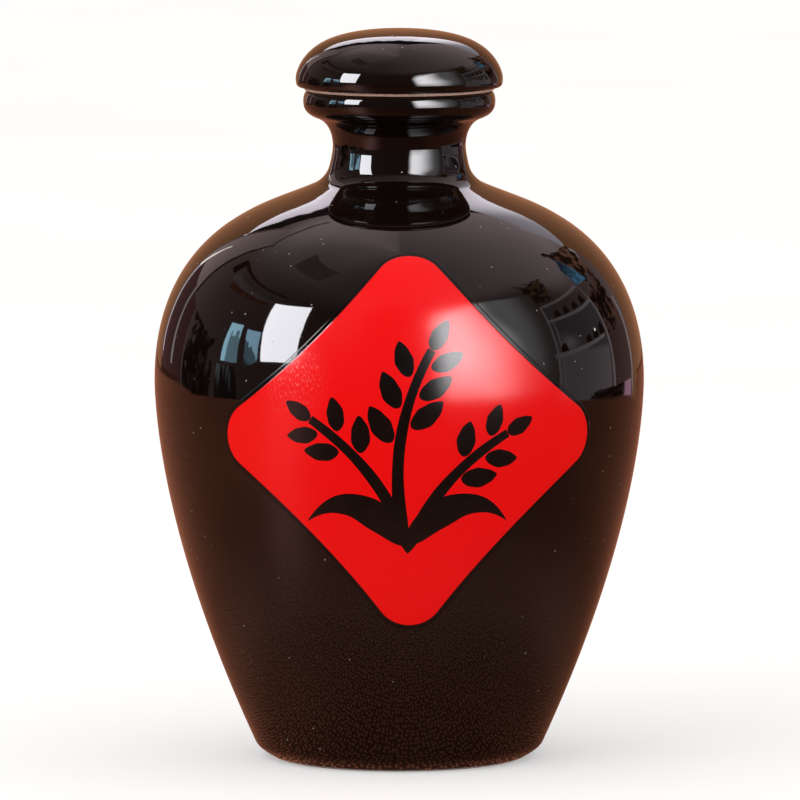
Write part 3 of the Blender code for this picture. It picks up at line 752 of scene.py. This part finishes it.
def left_pane_fade(u, v):
    """Dim glass, bright in a strip on its left and above a line of uneven steps."""
    steps = v - 0.70 - 0.1 * np.sin(9 * np.round(4 * u))
    return 0.32 + 0.68 * np.maximum(smooth(0.30, 0.22, u), smooth(0.0, 0.06, steps))


def right_pane_fade(u, v):
    """Glass that is dark at its lower left, and bright above uneven steps that fall to the right."""
    steps = v - 0.56 + 0.50 * smooth(0.45, 0.90, u) - 0.1 * np.sin(8 * np.round(5 * u) + 1)
    return 0.04 + 0.18 * smooth(0.10, 0.30, v + 0.5 * u) + 0.78 * smooth(0.0, 0.06, steps)


def rack_fade(u, v):
    """Level below and dimmer above the middle, with a bell of light on the middle board's left."""
    bell = np.exp(-((u - 0.24) / 0.14)**2 - ((v - 0.57) / 0.07)**2)
    return 0.75 + smooth(0.52, 0.46, v) + 1.9 * bell


turn, rise = np.meshgrid(np.linspace(-180, 180, 181), np.linspace(-14, 90, 70))
# the ceiling is brighter overhead, on the far right, and high and far back on the left
ceiling_light = (0.80 + 0.10 * smooth(60, 90, rise)
                 + 0.44 * smooth(95, 55, rise) * np.cos(np.radians(turn - 125))
                 + 0.28 * smooth(-30, -80, turn) * smooth(48, 58, rise)
                 + 0.45 * np.exp(-((turn + 152) / 22)**2) * smooth(42, 50, rise))
# the walls are brightest behind the jar, and the ceiling begins lower on the right
wall_light = 0.27 + 0.18 * np.cos(np.radians(turn - 175))
begins = 38 - 13 * smooth(75, 115, turn)
upper = smooth(begins, begins + 14, rise)
room_light = coloured((1 - upper) * wall_light, WALL_COLOUR) + coloured(upper * ceiling_light, CEILING_COLOUR)
mirrored("room_shell", towards(turn, rise) * ROOM_RADIUS + (0, 0, ROOM_HEIGHT), room_light)

panel("backdrop", ((141, -9), (210, -9), (208.5, 31.2), (145, 30.2)), 1.9, "#c38661")
panel("gap_left", ((175, 29), (208.5, 30), (208.5, 42), (175, 54)), 2.5, "#fdf4ff", 4.8, gap_light, 90)
panel("gap_right", ((140, 26), (176, 29), (176, 43), (150, 40.5)), 2.5, "#fdf4ff", 4.8,
      lambda u, v: 0.28 + 0.72 * smooth(0.35, 1.0, u) * smooth(1.25, 0.60 + 0.4 * u, v))
panel("beam_right", ((162, 41.8), (176, 42.5), (176, 54), (163, 42.4)), 2.4, "#2c2224")
panel("gap_strip", ((210, -2), (211.6, -2), (211.4, 16), (209.8, 16)), 2.4, "#ece2ee", 1.9)
panel("gap_strip_top", ((209.8, 16), (211.2, 16), (214.9, 29.5), (214.3, 29.5)), 2.4, "#fff6ec", 5.0)
panel("ceiling_seam", ((-134, 17), (-132, 17), (-132, 47), (-133.4, 47)), 2.5, "#3a2e2c")
panel("ceiling_seam_far", ((-158, 52), (-132, 47), (-131, 47.8), (-158, 53)), 2.5, "#7e7070")
panel("left_wall", ((-151, 17), (-134, 17), (-134, 46), (-150, 46)), 2.7, "#ffe0dc", 0.9)
panel("cabinet", ((-149, -9), (-124, -9), (-124, 15), (-148, 19)), 2.3, "#7c5252")
panel("cabinet_edge", ((-136, -2), (-134, -2), (-134.5, 17), (-136, 17)), 2.2, "#f4e8ea", 1.2)
panel("left_clutter", ((-123, -10), (-98, -10), (-99, 11), (-122, 15)), 2.3, "#7a6a64", 1.0,
      lambda u, v: scraps(1)(u, v) * (0.25 + 0.75 * smooth(0.30, 0.75, v)), 64, torn=11)
panel("left_beam", ((-117.5, 33), (-76, 35.3), (-70, 39.8), (-114.5, 39)), 2.3, "#a4949a", 1.2,
      lambda u, v: 0.75 + 0.25 * np.sin(5 * v + 2 * u))
panel("left_beam_foot", ((-113.5, 30.4), (-79, 33.6), (-76, 35.3), (-112, 33.2)), 2.3, "#8a4c38")
panel("left_beam_shade", ((-122, 39.4), (-69, 40.5), (-69, 41.4), (-121, 41)), 2.3, "#2e2422")
panel("left_hook", ((-125, 34), (-119, 34), (-119.5, 41), (-124.5, 40)), 2.3, "#1c1412")
panel("ceiling_hatch", ((-97, 56), (-63, 56), (-57, 65), (-107, 65)), 2.5, "#6c6062", 2.3)
panel("left_pane", ((-92.7, 5), (-82, 5.5), (-84.5, 21), (-92.3, 20)), 2.2, "#b0e2f8", 11.0,
      left_pane_fade, 64)
panel("right_pane", ((-77.5, 4.5), (-70.5, 7.5), (-72, 20.5), (-81, 20)), 2.2, "#a8d8f4", 9.5,
      right_pane_fade, 64)
panel("below_panes", ((-96, -9), (-81, -9), (-82, 4), (-95, 3.6)), 2.2, "#b8c8d0", 1.5,
      lambda u, v: 0.03 + 0.97 * smooth(0.42, 0.66, patchy(4, u, 0.12 * v)) * smooth(0.25, 0.95, v), 64)
panel("window", ((-68.4, 8), (-49.5, 9.5), (-50.9, 39.6), (-74, 35.8)), 2.1, "#f8f8ff", 28.0)
panel("lamp", ((16, -6), (80, -6), (80, 42), (12, 50)), 2.1, "#fdfbff", 24.0, lamp_fade, 64, clear=0.05)
panel("rack_fill", ((79, -10), (118, -10), (118, 21), (82, 31)), 2.4, "#f4e6ec", 0.42, rack_fade, 48)
for name, corners in (("rack_top", ((81.5, 30.2), (116, 28), (116, 29.4), (81.5, 31.4))),
                      ("rack_upper", ((80.5, 22.8), (118, 20), (118, 21.2), (80.5, 24.2))),
                      ("rack_middle", ((78.6, 7.4), (117, 8), (117, 9.3), (78.6, 9))),
                      ("rack_left", ((79.4, -10), (80.6, -10), (82.4, 31), (81, 31))),
                      ("rack_left_inner", ((82.6, -10), (83.3, -10), (85, 24), (84.2, 24))),
                      ("rack_right", ((120.4, -10), (122.2, -10), (119, 20), (116.8, 29)))):
    panel(name, corners, 2.3, "#fff0f8")
# what stands on the boards: the left edge, foot and height of each thing
rack_things = ((87, 23.6, 3.4), (94, 23.4, 3.2), (101.5, 22.8, 3.2), (109, 22.2, 3.6), (83, 9.2, 3.6),
               (101, 9.2, 2.6), (107, 9.2, 3.4), (112.6, 9.2, 3.8))
for index, (left, low, high) in enumerate(rack_things):
    corners = ((left, low), (left + 5.2, low - 0.2), (left + 4.0, low + high), (left + 1.2, low + high * 0.8))
    panel(f"rack_thing_{index}", corners, 2.2, "#2e2020")
panel("rack_spark", ((109.6, 11.4), (110.6, 11.4), (110.6, 12.3), (109.6, 12.3)), 2.15, "#ffffff", 14.0)
panel("rack_foot", ((100, -9), (130, -9), (130, -4.6), (100, -5.6)), 2.2, "#4a3a36", 0.9,
      scraps(6), 64, torn=15)
panel("blue_thing", ((117.5, 28.2), (128.7, 24.8), (126.5, 38.7), (119, 35.7)), 2.2, "#6cb4e4", 1.9,
      lambda u, v: (0.30 + 0.70 * smooth(0.9, 0.2, v)) * (0.55 + 0.5 * scraps(7)(u, v)), 48)
panel("brown_scraps", ((126, 24), (139, 24), (147, 29), (124, 46)), 2.3, "#9c6c58", 1.3,
      scraps(2), 80, torn=12)
panel("right_scraps", ((119.5, 8), (137, 6), (139, 25), (118, 21)), 2.35, "#96685a", 0.8,
      scraps(3), 80, torn=13)
panel("right_wall", ((122, -10), (142, -10), (138, 9), (119.5, 9)), 2.4, "#8c6c66")
panel("right_post", ((141, -10), (143, -10), (140, 12), (138.4, 12)), 2.3, "#f0dce0")
panel("pink_thing", ((131, -7.6), (139, -7.6), (139, -4.8), (131, -4.8)), 2.2, "#e4a8c4", 1.7)
panel("leaves", ((79, 34), (93, 31.5), (100, 42.5), (78, 46)), 2.3, "#5c4c34", 1.2,
      lambda u, v: 0.10 + 1.6 * scraps(5)(u, v), 80, torn=17)

# The brown table that the glaze mirrors, in rings: darker by the foot, with a sheen towards the window.
# It is cut off where its left and right edges lie.
TABLE_LEVEL, TABLE_RADIUS, TABLE_FALL = 0.6 * MM, 3.4, (1.65, 1.90)
TABLE_BROWN, TABLE_PALE, TABLE_SHEEN = "#c0775b", "#c4968a", "#d09ea0"
EDGE_SIDES = (-135, -125, -110, -66, -58, 66, 78, 145, 155)
EDGE_RINGS = (3.5, 1.75, 1.2, 1.2, 3.5, 3.5, 1.03, 1.03, 3.5)


def disc(radii, spokes, height):
    """The ring and angle of each point of a level disc round the jar's axis, and its place."""
    ring, spoke = np.meshgrid(radii, spokes, indexing="ij")
    return ring, spoke, np.stack([ring * np.sin(spoke), -ring * np.cos(spoke), 0 * ring + height], axis=-1)


radii = np.linspace(0, 1, 60)**1.6 * TABLE_RADIUS
ring, spoke, table_points = disc(radii, np.linspace(0, 2 * math.pi, 121), TABLE_LEVEL)
side = np.degrees((spoke - CAMERA_TURN + math.pi) % (2 * math.pi) - math.pi)
front = np.abs(side)
# brighter outwards, to the left and close in front; darker farther in front, far away and by the heel
table_light = ((0.66 + 0.34 * smooth(0.07, 0.40, ring)) * (0.86 - 0.20 * np.sin(np.radians(side)))
               * (1 + 0.7 * np.exp(-((side + 62) / 20)**2) * smooth(0.1, 0.5, ring))
               * (1 - 0.60 * smooth(62, 38, front) * smooth(0.17, 0.34, ring))
               * (0.25 + 0.75 * smooth(TABLE_FALL[1], TABLE_FALL[0], ring))
               * (0.75 + 0.25 * smooth(0.044, 0.050, ring))
               * (1 + 0.35 * smooth(0.12, 0.08, ring) * smooth(75, 50, front)))
# a pale bell round the jar, wider outwards, and the window's sheen
bell = np.exp(-((ring - 0.142) / np.where(ring < 0.142, 0.045, 0.080))**2)
lit_patch = 0.46 * bell * smooth(128, 70, front)
sheen = np.exp(-((side + 51) / 11)**2) * smooth(0.12, 0.24, ring) * (1 + 0.8 * smooth(0.30, 0.42, ring))
table_colour = (coloured(table_light, TABLE_BROWN) + coloured(lit_patch, TABLE_PALE)
                + coloured(sheen, TABLE_SHEEN))
edge = np.interp(side, EDGE_SIDES, EDGE_RINGS)
mirrored("table", table_points, table_colour, MOTTLED_LIGHT, smooth(edge + 0.03, edge - 0.03, ring))

# The studio: a plain pale floor under an even white dome, a soft lamp and the camera.
# The floor and dome show white, and the floor keeps the jar's soft shadow.
FLOOR_PALE, FLOOR_GREY, FLOOR_GLOW, FLOOR_RADIUS = "#dedcda", "#dad8d6", 0.36, 9.0
DOME_LIGHT, LAMP_WATTS, LAMP_SIZE, LAMP_DISTANCE, LAMP_TURN, LAMP_RISE = 0.90, 7.0, 1.3, 2.0, -40, 38


def seen_directly(tree):
    """1 on rays from the camera and from mirrors, and 0 on all others."""
    rays = node(tree, "LightPath").node.outputs
    return node(tree, "Math", {0: rays["Is Camera Ray"], 1: rays["Is Glossy Ray"]}, operation="MAXIMUM")


material, tree = finish_called("pale_matt_floor")
cloud = node(tree, "TexNoise", {"Vector": node(tree, "TexCoord", output="Object"), "Scale": 3.0})
pale = node(tree, "ValToRGB", {0: cloud}, stops=((0.3, FLOOR_GREY), (0.7, FLOOR_PALE)))
matt = node(tree, "BsdfDiffuse", {"Color": pale})
glow_level = node(tree, "Math", {0: seen_directly(tree), 1: FLOOR_GLOW}, operation="MULTIPLY")
glow = node(tree, "Emission", {"Strength": glow_level})
node(tree, "OutputMaterial", {"Surface": node(tree, "AddShader", {0: matt, 1: glow})})
spokes = np.linspace(0, 2 * math.pi, 96, endpoint=False)
*_, floor_points = disc([0.0, 0.1, 0.4, 1.5, FLOOR_RADIUS], spokes, 0)
floor = piece_from_grid("pale_floor", floor_points, material)
floor.visible_glossy = False

world, tree = finish_called("white_dome", bpy.data.worlds)
level = node(tree, "MapRange", {0: seen_directly(tree), 3: DOME_LIGHT, 4: 1.0})
node(tree, "OutputWorld", {"Surface": node(tree, "Background", {"Color": "#ffffff", "Strength": level})})
bpy.context.scene.world = world

lamp_data = bpy.data.lights.new("soft_lamp", "AREA")
lamp_data.energy, lamp_data.size = LAMP_WATTS, LAMP_SIZE
lamp = bpy.data.objects.new("soft_lamp", lamp_data)
lamp.location = towards(LAMP_TURN, LAMP_RISE) * LAMP_DISTANCE + (0, 0, ROOM_HEIGHT)
lamp.rotation_euler = (math.radians(90 - LAMP_RISE), 0, math.radians(LAMP_TURN) + CAMERA_TURN)
lamp.visible_glossy = False
bpy.context.collection.objects.link(lamp)

# the camera stands at the photograph's angle and distance, aimed so that the axis lies as it does there
LENS_MM, AIM_HEIGHT, AXIS_SHIFT = 495.0, 124.05 * MM, 0.25 * MM
camera_data = bpy.data.cameras.new("camera")
camera_data.lens = LENS_MM
camera = bpy.data.objects.new("camera", camera_data)
aim = np.array([math.cos(CAMERA_TURN) * AXIS_SHIFT, math.sin(CAMERA_TURN) * AXIS_SHIFT, AIM_HEIGHT])
camera.location = aim + towards(0, math.degrees(CAMERA_RISE)) * CAMERA_DISTANCE
camera.rotation_euler = (math.pi / 2 - CAMERA_RISE, 0, CAMERA_TURN)
bpy.context.collection.objects.link(camera)
bpy.context.scene.camera = camera
bpy.context.scene.view_settings.view_transform = "Standard"
